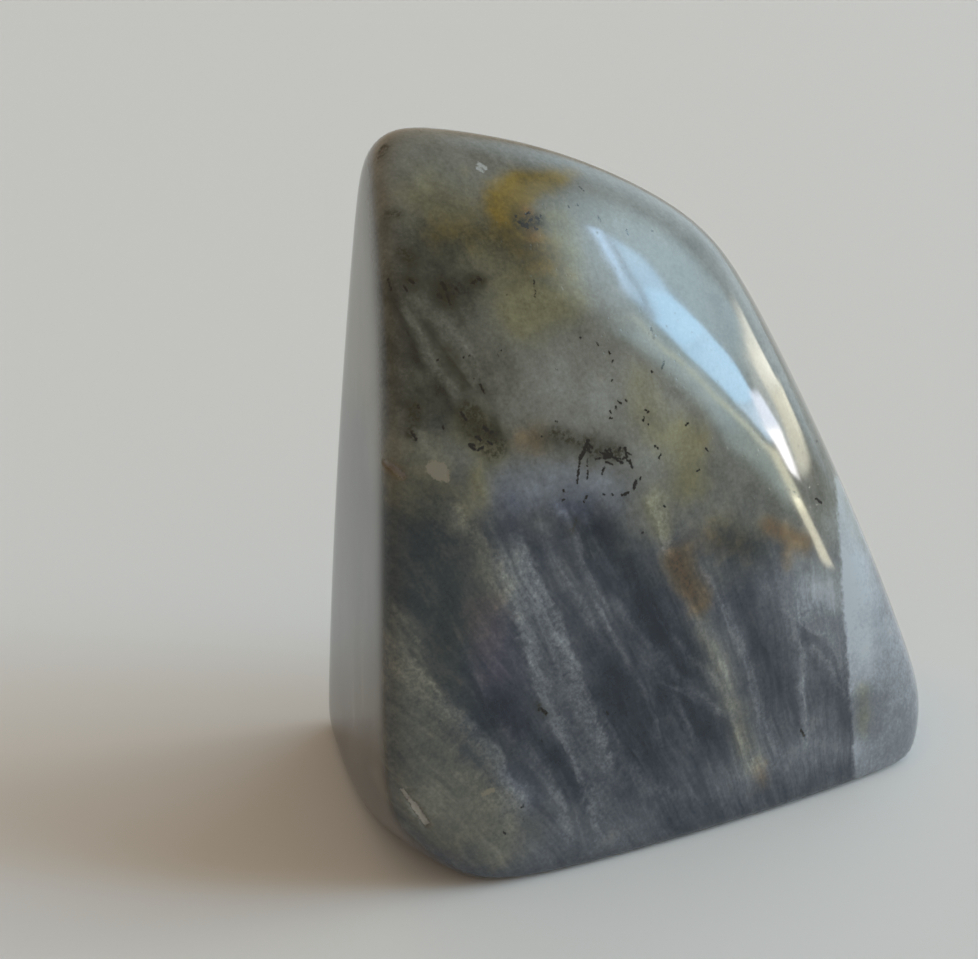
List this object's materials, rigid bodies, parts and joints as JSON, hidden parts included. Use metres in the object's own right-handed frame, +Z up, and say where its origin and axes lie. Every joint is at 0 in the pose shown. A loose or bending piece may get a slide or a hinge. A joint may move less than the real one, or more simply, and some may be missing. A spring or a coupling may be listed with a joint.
{
  "type": "polished labradorite stone",
  "caption": "Free-form polished labradorite stone with softly rounded edges and a flat base, for display on a shelf or table.",
  "frame": {"origin": "middle of the stone's outer box, on the plane of its flat base", "axes": "+Z up, out of the top of the stone as it stands; -Y is the side that the broad front face looks to; +X towards the low sloping end, -X the tall steep end"},
  "size_m": [0.0766, 0.0537, 0.0774],
  "materials": {
    "polished_stone": "polished, grey-blue to grey-green with pale streaks, ochre stains and black specks"
  },
  "bodies": {
    "root": {"stone": "polished_stone"}
  },
  "joints": []
}
